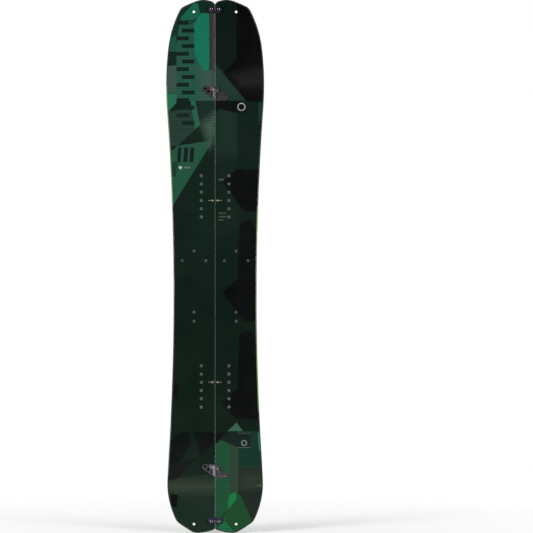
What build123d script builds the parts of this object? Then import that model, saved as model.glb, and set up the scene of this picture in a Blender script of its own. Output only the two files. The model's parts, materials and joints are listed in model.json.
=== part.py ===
from build123d import *
import math
import os

# A splitboard, joined for the ride down. It stands on its tail: +Z runs to the nose, the
# topsheet faces -Y, the base faces +Y, and the seam between the two halves is the plane X = 0.
# The origin is below the middle of the board, level with the tips of the tail.

# ---- Driving dimensions, in millimetres and degrees ----

# The board's outline: half width and height of each point
HALF_GAP = 0.15
WAIST = (128.0, 742.0)
SIDECUT_TAIL_END = (144.0, 225.0)
SIDECUT_NOSE_END = (148.4, 1305.0)
NOSE_EDGE = [(151, 1392), (144.6, 1492), (108.6, 1607.5), (96, 1619.5), (60, 1634.5)]
NOSE_LIP = [(40, 1639.6), (30, 1639.5), (10, 1635), (3.5, 1631)]
NOSE_NOTCH = 1626.6
NOTCH_CARRY = 4
TAIL_EDGE = [(147.4, 155), (146.3, 125), (138.2, 84), (122.5, 43), (110, 28.3), (72, 4.6)]
TAIL_LIP = [(52, 0.05), (30, 2.8), (10, 7.6), (4, 10)]
TAIL_NOTCH = 12.8
LENGTH = 1640.0

# The board's side profile: the base touches snow at two contact heights
BASE_Y = 22.06
CONTACT_TAIL = 170.0
CONTACT_NOSE = 1385.0
CAMBER = 5.0
NOSE_RISE = 42.0
TAIL_RISE = 27.0
TIP_MARGIN = 5.0

# The layers, from the base up
BASE_SHEET = 1.4
LOWER_LAMINATE = 0.6
EDGE_HEIGHT = BASE_SHEET + LOWER_LAMINATE
CORE_AT_TIP = 1.9
CORE_AT_CONTACT = 3.9
CORE_AT_MIDDLE = 5.9
UPPER_LAMINATE = 0.6
TOPSHEET = 0.5

# The layers' widths
EDGE_WIDTH = 2.1
SIDEWALL = 8.0
SEAM_SIDEWALL = 6.0
BEVEL = 3.5
CORE_TAIL_END = 85.0
CORE_NOSE_END = 1545.0

# The base, core, sidewalls and spacers are in lengths that butt at these heights, so that
# each length is nearly convex; none of the cuts crosses an insert, a bolt or a hole
BUTT_HEIGHTS = [45, 85, 125, 165, 370, 545, 800, 1125, 1385, 1438, 1491, 1545, 1590]

# Threaded inserts: half width and height of each, and their radii
BINDING_X = 42.5
BINDING_PITCH = 25.4
BINDING_CENTRES = [450.3, 1036.2]
BINDING_ROWS = 6
TOURING_POINTS = [(65, 867), (28.5, 838), (101.5, 838), (65, 679.5), (65, 651.5)]
BINDING_BARREL = 4.5
BINDING_FLANGE = 8.0
TOURING_BARREL = 4.0
TOURING_FLANGE = 7.0
CLIP_BARREL = 4.0
CLIP_FLANGE = 4.7
FLANGE_THICK = 1.2
THREAD = 2.5

# The climbing skins hook into a hole near each tip
SKIN_HOLE = 4.0
SKIN_HOLE_X = 65.0
SKIN_HOLE_HEIGHTS = [26.6, 1603.0]

# Middle clips: two plates, a catch post and a turning hook with its handle
CLIP_HEIGHTS = {"front": 1354.0, "rear": 188.7}
HOOK_PIVOT = (-11.0, 15.0)
CATCH_POST = (6.4, 7.4)
HOOK_SCREWS = [(-31.0, 14.5), (-21.0, 5.5)]
CATCH_SCREWS = [(14.5, -15.2), (31.0, -15.2)]
PLATE_THICK = 2.4
RUNNING_GAP = 0.3
HOOK_THICK = 3.0
POST_RADIUS = 2.5
POST_CAP_RADIUS = 4.0
POST_CAP_THICK = 1.0
HANDLE_LIFT = 7.4
HANDLE_THICK = 2.8
PIVOT_RADIUS = 2.5
PIVOT_FIT = 0.08
HEAD_RADIUS = 4.2
HEAD_HEIGHT = 1.6
HEX_SOCKET = 1.7
SCREW_SOCKET_DEPTH = 1.4
PIVOT_SOCKET_DEPTH = 2.0
SCREW_DEPTH = 4.2
SCREW_HEAD = 1.8
SHANK = 2.38
HOOK_HUB = 7.5
HANDLE_HUB = 6.0
HANDLE_BOSS = 4.2
RIVET = (-3.5, 14.0)
RIVET_RADIUS = 2.2
RIVET_HEAD_RADIUS = 3.0
RIVET_HEAD_HEIGHT = 1.2
RIVET_HEAD_ROUND = 0.9
HANDLE_END = (-2.2, -11.5)
HANDLE_END_RADIUS = 3.4
WEDGE_HEIGHT = 5.2
CORNER = 2.0
WEDGE_CORNER = 1.0
CLAW_CORNER = 1.2
BROKEN_EDGE = 0.4

# The hook turns this far while the halves part by this much, at a constant rate; the slot
# in the hook is cut along the post's path over these angles
HOOK_TURN = 150.0
PARTING = 20.0
SLOT_ANGLES = range(0, 61, 10)

# Tip clips: a tongue on one half goes under the disc of a bolt on the other
TIP_CLIP_HEIGHTS = {"nose": 1610.5, "tail": 35.0}
TIP_BOLT_X = 11.4
TONGUE_ARM = [(-11.4, -5.6), (2, -8.6), (14.5, -8.4)]
ARM_WIDTH = 6.4
TONGUE_TAB = [(-15.4, -4), (-19, -6.9), (-22.4, -9.5)]
TAB_WIDTH = 5.0
TONGUE_LIFT = 1.0
TONGUE_THICK = 2.2
DISC_THICK = 1.2
DISC_RADIUS = 10.0
COLLAR_RADIUS = 4.5
TIP_NUT_BARREL = 3.6
TIP_NUT_FLANGE = 6.5
TIP_BOLT_DEPTH = 3.6
TIP_PIVOT_HEAD = 5.2
TIP_HEAD_ROUND = 0.95
TIP_SOCKET_DEPTH = 1.1
SEAT_GAP = 0.05
BUSH_RADIUS = 4.0
BUSH_FLANGE = 7.0
BUSH_FLANGE_THICK = 0.8
RIM_WIDTH = 1.8
RIM_HEIGHT = 0.8

SIDES = {"left": -1, "right": 1}
ACROSS = 170.0
REACH = 90.0

os.makedirs("parts", exist_ok=True)
pieces = []


def save(piece, label):
    """Label a finished piece and write it as its own STEP file."""
    piece.part.label = label
    export_step(piece.part, f"parts/{label}.step")
    pieces.append(piece.part)


# ---- Side profile: surfaces across the whole board ----


def surface(lift, core=0.0):
    """The side-view line at a lift off the base face; core=1 adds the core's taper."""
    tip = lift + core * CORE_AT_TIP
    contact = lift + core * CORE_AT_CONTACT
    middle = lift + core * CORE_AT_MIDDLE
    centre = (CONTACT_TAIL + CONTACT_NOSE) / 2
    with BuildLine() as line:
        rocker = ThreePointArc(
            (BASE_Y - contact, CONTACT_TAIL),
            (BASE_Y - CAMBER - middle, centre),
            (BASE_Y - contact, CONTACT_NOSE),
        )
        nose = (BASE_Y - NOSE_RISE - tip, LENGTH + TIP_MARGIN)
        TangentArc(rocker @ 1, nose, tangent=rocker % 1)
        tail = (BASE_Y - TAIL_RISE - tip, -TIP_MARGIN)
        TangentArc(rocker @ 0, tail, tangent=(rocker % 0) * -1)
    return line


def slab(lower, upper):
    """Everything between two surfaces, wider than the board."""
    with BuildPart() as body:
        with BuildSketch(Plane.YZ):
            with BuildLine():
                add(lower.line)
                add(upper.line)
                for end in (-TIP_MARGIN, LENGTH + TIP_MARGIN):
                    Line(point_at(lower, end), point_at(upper, end))
            make_face()
        extrude(amount=ACROSS, both=True)
    return body.part


def arc_at(line, z):
    """The arc of a surface that passes a given height."""
    for arc in line.edges():
        low, high = sorted(((arc @ 0).Y, (arc @ 1).Y))
        if low - 0.001 <= z <= high + 0.001:
            return arc
    raise ValueError("height is off the board")


def point_at(line, z):
    """The point of a surface at a given height, in side view."""
    arc = arc_at(line, z)
    centre = arc.arc_center
    side = 1 if (arc @ 0).X > centre.X else -1
    return (centre.X + side * math.sqrt(arc.radius**2 - (z - centre.Y) ** 2), z)


def top_plane(x, z):
    """The plane that lies on the topsheet at a point; its normal leaves the board."""
    arc = arc_at(TOP_FACE, z)
    y, _ = point_at(TOP_FACE, z)
    normal = Vector(0, y - arc.arc_center.X, z - arc.arc_center.Y)
    if normal.Y > 0:
        normal = normal * -1
    return Plane(origin=(x, y, z), x_dir=(1, 0, 0), z_dir=normal)


BASE_FACE = surface(0)
BASE_TOP = surface(BASE_SHEET)
LOWER_TOP = surface(EDGE_HEIGHT)
FLANGE_TOP = surface(EDGE_HEIGHT + FLANGE_THICK)
CORE_TOP = surface(EDGE_HEIGHT, core=1)
UPPER_TOP = surface(EDGE_HEIGHT + UPPER_LAMINATE, core=1)
TOP_FACE = surface(EDGE_HEIGHT + UPPER_LAMINATE + TOPSHEET, core=1)

base_slab = slab(BASE_FACE, BASE_TOP)
edge_slab = slab(BASE_FACE, LOWER_TOP)
lower_slab = slab(BASE_TOP, LOWER_TOP)
flange_slab = slab(LOWER_TOP, FLANGE_TOP)
core_slab = slab(LOWER_TOP, CORE_TOP)
upper_slab = slab(CORE_TOP, UPPER_TOP)
top_slab = slab(UPPER_TOP, TOP_FACE)
insert_slab = slab(LOWER_TOP, TOP_FACE)


# ---- Plan outlines ----


def half_plan(side, inset=0.0):
    """One half's outline, drawn past the seam and then cut along it."""
    with BuildSketch() as plan:
        with BuildLine():
            sidecut = ThreePointArc(
                (side * SIDECUT_TAIL_END[0], SIDECUT_TAIL_END[1]),
                (side * WAIST[0], WAIST[1]),
                (side * SIDECUT_NOSE_END[0], SIDECUT_NOSE_END[1]),
            )
            ends = []
            starts = [(sidecut @ 1, sidecut % 1), (sidecut @ 0, (sidecut % 0) * -1)]
            routes = [NOSE_EDGE + NOSE_LIP, TAIL_EDGE + TAIL_LIP]
            notches = [NOSE_NOTCH, TAIL_NOTCH]
            for (point, heading), route, notch in zip(starts, routes, notches):
                for half_width, height in route:
                    arc = TangentArc(point, (side * half_width, height), tangent=heading)
                    point, heading = arc @ 1, arc % 1
                # the straight side of the notch, carried on past the seam
                run = Vector(side * HALF_GAP, notch) - point
                last = Line(point, point + run * NOTCH_CARRY)
                ends.append(last @ 1)
            Line(*ends)
        make_face()
        if inset:
            offset(amount=-inset)
        with Locations((side * (ACROSS / 2 + HALF_GAP), LENGTH / 2)):
            Rectangle(ACROSS, 2 * LENGTH, mode=Mode.INTERSECT)
    return plan.sketch


def seam_strip(side, width):
    """A strip along the seam, the length of the board."""
    with BuildSketch() as strip:
        with Locations((side * (HALF_GAP + width / 2), LENGTH / 2)):
            Rectangle(width, 2 * LENGTH)
    return strip.sketch


def height_band(low, high):
    """A band across the board between two heights."""
    with BuildSketch() as band:
        with Locations((0, (low + high) / 2)):
            Rectangle(2 * ACROSS, high - low)
    return band.sketch


def cut_out(plan):
    """Keep only what lies inside a plan, in the part being made."""
    with BuildSketch(Plane.XZ) as kept:
        add(plan)
    extrude(kept.sketch, amount=REACH, both=True, mode=Mode.INTERSECT)


def cut_to_lengths():
    """Cut the part being made into its lengths, which stay in place end to end."""
    for height in BUTT_HEIGHTS:
        split(bisect_by=Plane.XY.offset(height), keep=Keep.BOTH)


def drill(points, radius):
    """Drill round holes along Y through the part being made."""
    with BuildSketch(Plane.XZ) as holes:
        with Locations(*points):
            Circle(radius)
    extrude(holes.sketch, amount=REACH, both=True, mode=Mode.SUBTRACT)


def drill_tips(side, radius):
    """Drill the tip clips' bolt holes square to the topsheet."""
    for height in TIP_CLIP_HEIGHTS.values():
        with BuildSketch(top_plane(side * TIP_BOLT_X, height)) as hole:
            Circle(radius)
        extrude(hole.sketch, amount=REACH / 2, both=True, mode=Mode.SUBTRACT)


# ---- Places of the inserts ----


def binding_points(side):
    """Six inserts in a column under each binding."""
    rows = [BINDING_PITCH * (row - (BINDING_ROWS - 1) / 2) for row in range(BINDING_ROWS)]
    return [(side * BINDING_X, centre + row) for centre in BINDING_CENTRES for row in rows]


def touring_points(side):
    """Inserts for the touring bracket and for the heel riser behind it."""
    return [(side * x, z) for x, z in TOURING_POINTS]


def clip_points(side):
    """Inserts under the middle clips' plates."""
    places = CATCH_SCREWS if side > 0 else HOOK_SCREWS + [HOOK_PIVOT]
    return [(x, height + z) for height in CLIP_HEIGHTS.values() for x, z in places]


def skin_points(side):
    """The skin holes at the tips."""
    return [(side * SKIN_HOLE_X, height) for height in SKIN_HOLE_HEIGHTS]


# ---- The laminated halves ----


def insert_blanks(points, barrel, flange):
    """Flanged inserts before their threads are bored, flush with the topsheet."""
    with BuildPart() as barrels:
        add(insert_slab)
        with BuildSketch(Plane.XZ):
            with Locations(*points):
                Circle(barrel)
        extrude(amount=REACH, both=True, mode=Mode.INTERSECT)
    with BuildPart() as blanks:
        add(flange_slab)
        with BuildSketch(Plane.XZ):
            with Locations(*points):
                Circle(flange)
        extrude(amount=REACH, both=True, mode=Mode.INTERSECT)
        add(barrels.part)
    return blanks.part


def build_inserts(name, side):
    """The three groups of inserts; the return value is their solid blanks."""
    groups = {
        "binding_inserts": (binding_points(side), BINDING_BARREL, BINDING_FLANGE),
        "touring_inserts": (touring_points(side), TOURING_BARREL, TOURING_FLANGE),
        "clip_inserts": (clip_points(side), CLIP_BARREL, CLIP_FLANGE),
    }
    blanks = []
    for group, (points, barrel, flange) in groups.items():
        blank = insert_blanks(points, barrel, flange)
        with BuildPart() as inserts:
            add(blank)
            drill(points, THREAD)
        save(inserts, f"{name}_{group}")
        blanks.append(blank)
    return blanks


def build_base(name, side):
    """The running base, inside the steel edges."""
    with BuildPart() as base:
        add(base_slab)
        cut_out(half_plan(side, EDGE_WIDTH) - seam_strip(side, EDGE_WIDTH))
        drill(skin_points(side), SKIN_HOLE)
        drill_tips(side, TIP_NUT_FLANGE)
        cut_to_lengths()
    save(base, f"{name}_base")


def build_edges(name, side):
    """The steel edge round the outside and the straight one along the seam."""
    with BuildPart() as outer:
        add(edge_slab)
        cut_out(half_plan(side) - half_plan(side, EDGE_WIDTH))
    save(outer, f"{name}_outer_edge")
    with BuildPart() as seam:
        add(edge_slab)
        cut_out(half_plan(side, EDGE_WIDTH) & seam_strip(side, EDGE_WIDTH))
    save(seam, f"{name}_seam_edge")


def build_lower_laminate(name, side):
    """Glass fibre over the base, between the edges."""
    with BuildPart() as laminate:
        add(lower_slab)
        cut_out(half_plan(side, EDGE_WIDTH) - seam_strip(side, EDGE_WIDTH))
        drill(skin_points(side), SKIN_HOLE)
        drill_tips(side, TIP_NUT_FLANGE)
    save(laminate, f"{name}_lower_laminate")


def build_core(name, side, blanks):
    """The wood core between the sidewalls, with pockets for the inserts."""
    plan = half_plan(side, SIDEWALL) - seam_strip(side, SEAM_SIDEWALL)
    with BuildPart() as core:
        add(core_slab)
        cut_out(plan & height_band(CORE_TAIL_END, CORE_NOSE_END))
        for blank in blanks:
            add(blank, mode=Mode.SUBTRACT)
        cut_to_lengths()
    save(core, f"{name}_core")


def build_sidewalls(name, side):
    """The bevelled outer sidewall and the square one along the seam."""
    band = height_band(CORE_TAIL_END, CORE_NOSE_END)
    with BuildPart() as outer:
        add(core_slab)
        cut_out((half_plan(side) - half_plan(side, SIDEWALL)) & band)
        cut_to_lengths()
    save(outer, f"{name}_outer_sidewall")
    with BuildPart() as seam:
        add(core_slab)
        cut_out(half_plan(side, SIDEWALL) & seam_strip(side, SEAM_SIDEWALL) & band)
        cut_to_lengths()
    save(seam, f"{name}_seam_sidewall")


def build_tip_spacers(name, side):
    """Plastic spacers that take over from the core at the nose and the tail."""
    bands = {
        "nose_spacer": height_band(CORE_NOSE_END, LENGTH + TIP_MARGIN),
        "tail_spacer": height_band(-TIP_MARGIN, CORE_TAIL_END),
    }
    for spacer_name, band in bands.items():
        with BuildPart() as spacer:
            add(core_slab)
            cut_out(half_plan(side) & band)
            drill(skin_points(side), SKIN_HOLE)
            drill_tips(side, TIP_NUT_BARREL)
            cut_to_lengths()
        save(spacer, f"{name}_{spacer_name}")


def build_top_layers(name, side, blanks):
    """Upper glass fibre and the topsheet, set in from the outer edge by the bevel."""
    for layer_name, layer_slab in (("upper_laminate", upper_slab), ("topsheet", top_slab)):
        with BuildPart() as layer:
            add(layer_slab)
            cut_out(half_plan(side, BEVEL))
            for blank in blanks:
                add(blank, mode=Mode.SUBTRACT)
            drill(skin_points(side), SKIN_HOLE)
            drill_tips(side, TIP_NUT_BARREL)
        save(layer, f"{name}_{layer_name}")


# ---- Middle clips ----


def post_track(angle):
    """Where the catch post stands in the hook's own frame once it has turned."""
    parted = PARTING * angle / HOOK_TURN
    x = CATCH_POST[0] + parted - HOOK_PIVOT[0]
    y = CATCH_POST[1] - HOOK_PIVOT[1]
    turn = math.radians(-angle)
    return (
        HOOK_PIVOT[0] + x * math.cos(turn) - y * math.sin(turn),
        HOOK_PIVOT[1] + x * math.sin(turn) + y * math.cos(turn),
    )


def outer_face(piece, plane):
    """The face of a piece that stands furthest out of the board."""
    return piece.faces().sort_by(Axis(plane.origin, plane.z_dir))[-1]


def countersunk_screws(plane, points, label):
    """Countersunk screws flush with a plate; the return value has no sockets yet."""
    with BuildPart() as blanks:
        with BuildSketch(plane.offset(PLATE_THICK)):
            with Locations(*points):
                Circle(HEAD_RADIUS)
        extrude(amount=-SCREW_HEAD, taper=45)
        with BuildSketch(plane.offset(PLATE_THICK)):
            with Locations(*points):
                Circle(SHANK)
        extrude(amount=-PLATE_THICK - SCREW_DEPTH)
    with BuildPart() as screws:
        add(blanks.part)
        with BuildSketch(plane.offset(PLATE_THICK)):
            with Locations(*points):
                RegularPolygon(radius=HEX_SOCKET, side_count=6)
        extrude(amount=-SCREW_SOCKET_DEPTH, mode=Mode.SUBTRACT)
    save(screws, label)
    return blanks.part


def build_hook_plate(name, plane, screws):
    """The left plate, which carries the hook's pivot."""
    outline = [(-41, 14), (-33, 22.5), (-1.5, 22.5), (-1.5, -14), (-9, -12.5), (-41, 8)]
    with BuildPart() as plate:
        with BuildSketch(plane) as flat:
            Polygon(*outline, align=None)
            fillet(flat.vertices(), CORNER)
        extrude(amount=PLATE_THICK)
        chamfer(outer_face(plate, plane).edges(), BROKEN_EDGE)
        add(screws, mode=Mode.SUBTRACT)
        with BuildSketch(plane):
            with Locations(HOOK_PIVOT):
                Circle(PIVOT_RADIUS)
        extrude(amount=PLATE_THICK, mode=Mode.SUBTRACT)
    save(plate, f"{name}_clip_hook_plate")


def build_catch_plate(name, plane, screws):
    """The right plate, with a wedge that guards the hook's tip and a hole for the post."""
    outline = [(41, -14), (33, -22.5), (1.5, -22.5), (1.5, 14), (9, 12.5), (41, -8)]
    wedge = [(15.5, 4), (33, -8), (9.5, -8)]
    with BuildPart() as plate:
        with BuildSketch(plane) as flat:
            Polygon(*outline, align=None)
            fillet(flat.vertices(), CORNER)
        extrude(amount=PLATE_THICK)
        chamfer(outer_face(plate, plane).edges(), BROKEN_EDGE)
        with BuildSketch(plane) as block:
            Polygon(*wedge, align=None)
            fillet(block.vertices(), WEDGE_CORNER)
        extrude(amount=WEDGE_HEIGHT)
        chamfer(outer_face(plate, plane).edges(), BROKEN_EDGE)
        add(screws, mode=Mode.SUBTRACT)
        with BuildSketch(plane):
            with Locations(CATCH_POST):
                Circle(POST_RADIUS)
        extrude(amount=PLATE_THICK, mode=Mode.SUBTRACT)
    save(plate, f"{name}_clip_catch_plate")


def build_catch_post(name, plane):
    """The capped post that the hook pulls on."""
    cap_lift = PLATE_THICK + HOOK_THICK + 2 * RUNNING_GAP
    with BuildPart() as post:
        with BuildSketch(plane):
            with Locations(CATCH_POST):
                Circle(POST_RADIUS)
        extrude(amount=cap_lift)
        with BuildSketch(plane.offset(cap_lift)):
            with Locations(CATCH_POST):
                Circle(POST_CAP_RADIUS)
        extrude(amount=POST_CAP_THICK)
        chamfer(outer_face(post, plane).edges(), BROKEN_EDGE)
    save(post, f"{name}_clip_catch_post")


def build_hook(name, plane):
    """The flat hook, with the slot that the catch post runs through."""
    claw = [(-11, 22.5), (4, 21.5), (12.5, 14), (13, 3), (10, -1.2), (4, 2), (-3, 7)]
    with BuildPart() as hook:
        with BuildSketch(plane.offset(PLATE_THICK + RUNNING_GAP)) as flat:
            Polygon(*claw, align=None)
            fillet(flat.vertices(), CLAW_CORNER)
            with Locations(HOOK_PIVOT):
                Circle(HOOK_HUB)
            with BuildLine():
                Spline(*[post_track(angle) for angle in SLOT_ANGLES])
            trace(line_width=2 * (POST_RADIUS + RUNNING_GAP), mode=Mode.SUBTRACT)
            with Locations(CATCH_POST):
                Circle(POST_RADIUS + RUNNING_GAP, mode=Mode.SUBTRACT)
            with Locations(HOOK_PIVOT):
                Circle(PIVOT_RADIUS + PIVOT_FIT, mode=Mode.SUBTRACT)
            with Locations(RIVET):
                Circle(RIVET_RADIUS, mode=Mode.SUBTRACT)
        extrude(amount=HOOK_THICK)
    save(hook, f"{name}_clip_hook")


def build_handle(name, plane):
    """The handle: a hub on the hook, and a bar along the seam that clears the post."""
    hook_top = PLATE_THICK + RUNNING_GAP + HOOK_THICK
    with BuildPart() as handle:
        with BuildSketch(plane.offset(hook_top)):
            with Locations(HOOK_PIVOT):
                Circle(HANDLE_HUB)
            with Locations(RIVET):
                Circle(HANDLE_BOSS)
            make_hull()
        extrude(amount=HANDLE_LIFT + HANDLE_THICK - hook_top)
        with BuildSketch(plane.offset(HANDLE_LIFT)):
            with Locations(RIVET):
                Circle(HANDLE_BOSS)
            with Locations(HANDLE_END):
                Circle(HANDLE_END_RADIUS)
            make_hull()
        extrude(amount=HANDLE_THICK)
        chamfer(outer_face(handle, plane).edges(), 2 * BROKEN_EDGE)
        for hole, radius in ((HOOK_PIVOT, PIVOT_RADIUS + PIVOT_FIT), (RIVET, RIVET_RADIUS)):
            with BuildSketch(plane.offset(hook_top)):
                with Locations(hole):
                    Circle(radius)
            extrude(amount=HANDLE_LIFT, mode=Mode.SUBTRACT)
    save(handle, f"{name}_clip_handle")


def build_rivet(name, plane):
    """The domed rivet that fixes the handle to the hook."""
    handle_top = HANDLE_LIFT + HANDLE_THICK
    with BuildPart() as rivet:
        with BuildSketch(plane.offset(PLATE_THICK + RUNNING_GAP)):
            with Locations(RIVET):
                Circle(RIVET_RADIUS)
        extrude(amount=handle_top - PLATE_THICK - RUNNING_GAP)
        with BuildSketch(plane.offset(handle_top)):
            with Locations(RIVET):
                Circle(RIVET_HEAD_RADIUS)
        extrude(amount=RIVET_HEAD_HEIGHT)
        fillet(outer_face(rivet, plane).edges(), RIVET_HEAD_ROUND)
    save(rivet, f"{name}_clip_rivet")


def build_pivot_bolt(name, plane):
    """The shoulder bolt that the hook and its handle turn on."""
    handle_top = HANDLE_LIFT + HANDLE_THICK
    with BuildPart() as bolt:
        with BuildSketch(plane.offset(-SCREW_DEPTH)):
            with Locations(HOOK_PIVOT):
                Circle(SHANK)
        extrude(amount=SCREW_DEPTH)
        with BuildSketch(plane):
            with Locations(HOOK_PIVOT):
                Circle(PIVOT_RADIUS)
        extrude(amount=handle_top + PIVOT_FIT)
        with BuildSketch(plane.offset(handle_top + PIVOT_FIT)):
            with Locations(HOOK_PIVOT):
                Circle(HEAD_RADIUS)
        extrude(amount=HEAD_HEIGHT)
        chamfer(outer_face(bolt, plane).edges(), BROKEN_EDGE)
        with BuildSketch(plane.offset(handle_top + PIVOT_FIT + HEAD_HEIGHT)):
            with Locations(HOOK_PIVOT):
                RegularPolygon(radius=HEX_SOCKET, side_count=6)
        extrude(amount=-PIVOT_SOCKET_DEPTH, mode=Mode.SUBTRACT)
    save(bolt, f"{name}_clip_pivot_bolt")


def build_middle_clip(name, height):
    """One middle clip on its plane of the topsheet."""
    plane = top_plane(0, height)
    hook_screws = countersunk_screws(plane, HOOK_SCREWS, f"{name}_clip_hook_screws")
    catch_screws = countersunk_screws(plane, CATCH_SCREWS, f"{name}_clip_catch_screws")
    build_hook_plate(name, plane, hook_screws)
    build_catch_plate(name, plane, catch_screws)
    build_catch_post(name, plane)
    build_hook(name, plane)
    build_handle(name, plane)
    build_rivet(name, plane)
    build_pivot_bolt(name, plane)


# ---- Tip clips ----


def tip_plane(name):
    """A tip clip's plane: the tail clip is the nose clip turned half round."""
    plane = top_plane(0, TIP_CLIP_HEIGHTS[name])
    if name == "tail":
        return Plane(origin=plane.origin, x_dir=(-1, 0, 0), z_dir=plane.z_dir)
    return plane


def build_tongue(name, plane):
    """The turning tongue: a disc round its pivot, an arm and a finger tab."""
    with BuildPart() as tongue:
        with BuildSketch(plane.offset(TONGUE_LIFT)):
            with Locations((-TIP_BOLT_X, 0)):
                Circle(DISC_RADIUS)
            for route, width in ((TONGUE_ARM, ARM_WIDTH), (TONGUE_TAB, TAB_WIDTH)):
                with BuildLine():
                    ThreePointArc(*route)
                trace(line_width=width)
                with Locations(route[-1]):
                    Circle(width / 2)
            with Locations((-TIP_BOLT_X, 0)):
                Circle(BUSH_RADIUS + PIVOT_FIT, mode=Mode.SUBTRACT)
        extrude(amount=TONGUE_THICK)
    save(tongue, f"{name}_clip_tongue")


def build_bush(label, plane, x, steps):
    """The flanged bush that the tongue turns on."""
    with BuildPart() as piece:
        for radius, start, height in steps:
            with BuildSketch(plane.offset(start)):
                with Locations((x, 0)):
                    Circle(radius)
            extrude(amount=height)
        with BuildSketch(plane):
            with Locations((x, 0)):
                Circle(PIVOT_RADIUS)
        extrude(amount=REACH / 2, mode=Mode.SUBTRACT)
    save(piece, label)


def build_disc(label, plane, x, steps, dish):
    """The catch disc on its collar, dished inside a raised rim."""
    with BuildPart() as piece:
        for radius, start, height in steps:
            with BuildSketch(plane.offset(start)):
                with Locations((x, 0)):
                    Circle(radius)
            extrude(amount=height)
        with BuildSketch(plane.offset(dish)):
            with Locations((x, 0)):
                Circle(DISC_RADIUS - RIM_WIDTH)
        extrude(amount=RIM_HEIGHT, mode=Mode.SUBTRACT)
        with BuildSketch(plane):
            with Locations((x, 0)):
                Circle(PIVOT_RADIUS)
        extrude(amount=dish, mode=Mode.SUBTRACT)
    save(piece, label)


def build_tip_bolt(label, plane, x, seat, head):
    """A button-head bolt with a hexagon socket, down into its nut."""
    with BuildPart() as bolt:
        with BuildSketch(plane.offset(-TIP_BOLT_DEPTH)):
            with Locations((x, 0)):
                Circle(PIVOT_RADIUS)
        extrude(amount=TIP_BOLT_DEPTH + seat)
        with BuildSketch(plane.offset(seat)):
            with Locations((x, 0)):
                Circle(head)
        extrude(amount=HEAD_HEIGHT)
        fillet(outer_face(bolt, plane).edges(), TIP_HEAD_ROUND)
        with BuildSketch(plane.offset(seat + HEAD_HEIGHT)):
            with Locations((x, 0)):
                RegularPolygon(radius=HEX_SOCKET, side_count=6)
        extrude(amount=-TIP_SOCKET_DEPTH, mode=Mode.SUBTRACT)
    save(bolt, label)


def build_tip_nut(label, plane, x):
    """A flanged nut let into the base, flush on both faces of the board."""
    with BuildPart() as barrel:
        add(insert_slab)
        with BuildSketch(plane):
            with Locations((x, 0)):
                Circle(TIP_NUT_BARREL)
        extrude(amount=REACH / 2, both=True, mode=Mode.INTERSECT)
    with BuildPart() as nut:
        add(edge_slab)
        with BuildSketch(plane):
            with Locations((x, 0)):
                Circle(TIP_NUT_FLANGE)
        extrude(amount=REACH / 2, both=True, mode=Mode.INTERSECT)
        add(barrel.part)
        with BuildSketch(plane.offset(-TIP_BOLT_DEPTH)):
            with Locations((x, 0)):
                Circle(PIVOT_RADIUS)
        extrude(amount=REACH / 2, mode=Mode.SUBTRACT)
    save(nut, label)


def build_tip_clip(name):
    """One tip clip: pivot side, catch side and the tongue between them."""
    plane = tip_plane(name)
    tongue_top = TONGUE_LIFT + TONGUE_THICK
    seat = tongue_top + RUNNING_GAP
    bush = [(BUSH_FLANGE, SEAT_GAP, BUSH_FLANGE_THICK), (BUSH_RADIUS, SEAT_GAP, seat - SEAT_GAP)]
    disc = [(COLLAR_RADIUS, SEAT_GAP, seat), (DISC_RADIUS, seat, DISC_THICK + RIM_HEIGHT)]
    build_tongue(name, plane)
    build_bush(f"{name}_clip_pivot_bush", plane, -TIP_BOLT_X, bush)
    build_tip_bolt(f"{name}_clip_pivot_bolt", plane, -TIP_BOLT_X, seat, TIP_PIVOT_HEAD)
    build_disc(f"{name}_clip_catch_disc", plane, TIP_BOLT_X, disc, seat + DISC_THICK)
    build_tip_bolt(f"{name}_clip_catch_bolt", plane, TIP_BOLT_X, seat + DISC_THICK, HEAD_RADIUS)
    build_tip_nut(f"{name}_clip_pivot_nut", plane, -TIP_BOLT_X)
    build_tip_nut(f"{name}_clip_catch_nut", plane, TIP_BOLT_X)


# ---- The whole board ----

for side_name, side in SIDES.items():
    insert_cuts = build_inserts(side_name, side)
    build_base(side_name, side)
    build_edges(side_name, side)
    build_lower_laminate(side_name, side)
    build_core(side_name, side, insert_cuts)
    build_sidewalls(side_name, side)
    build_tip_spacers(side_name, side)
    build_top_layers(side_name, side, insert_cuts)

for clip_name, clip_height in CLIP_HEIGHTS.items():
    build_middle_clip(clip_name, clip_height)

for clip_name in TIP_CLIP_HEIGHTS:
    build_tip_clip(clip_name)

box = Compound(children=pieces).bounding_box()
print("pieces", len(pieces), "box", box)
print("middle of the depth", (box.min.Y + box.max.Y) / 2)
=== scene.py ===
import json
import math

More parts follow.
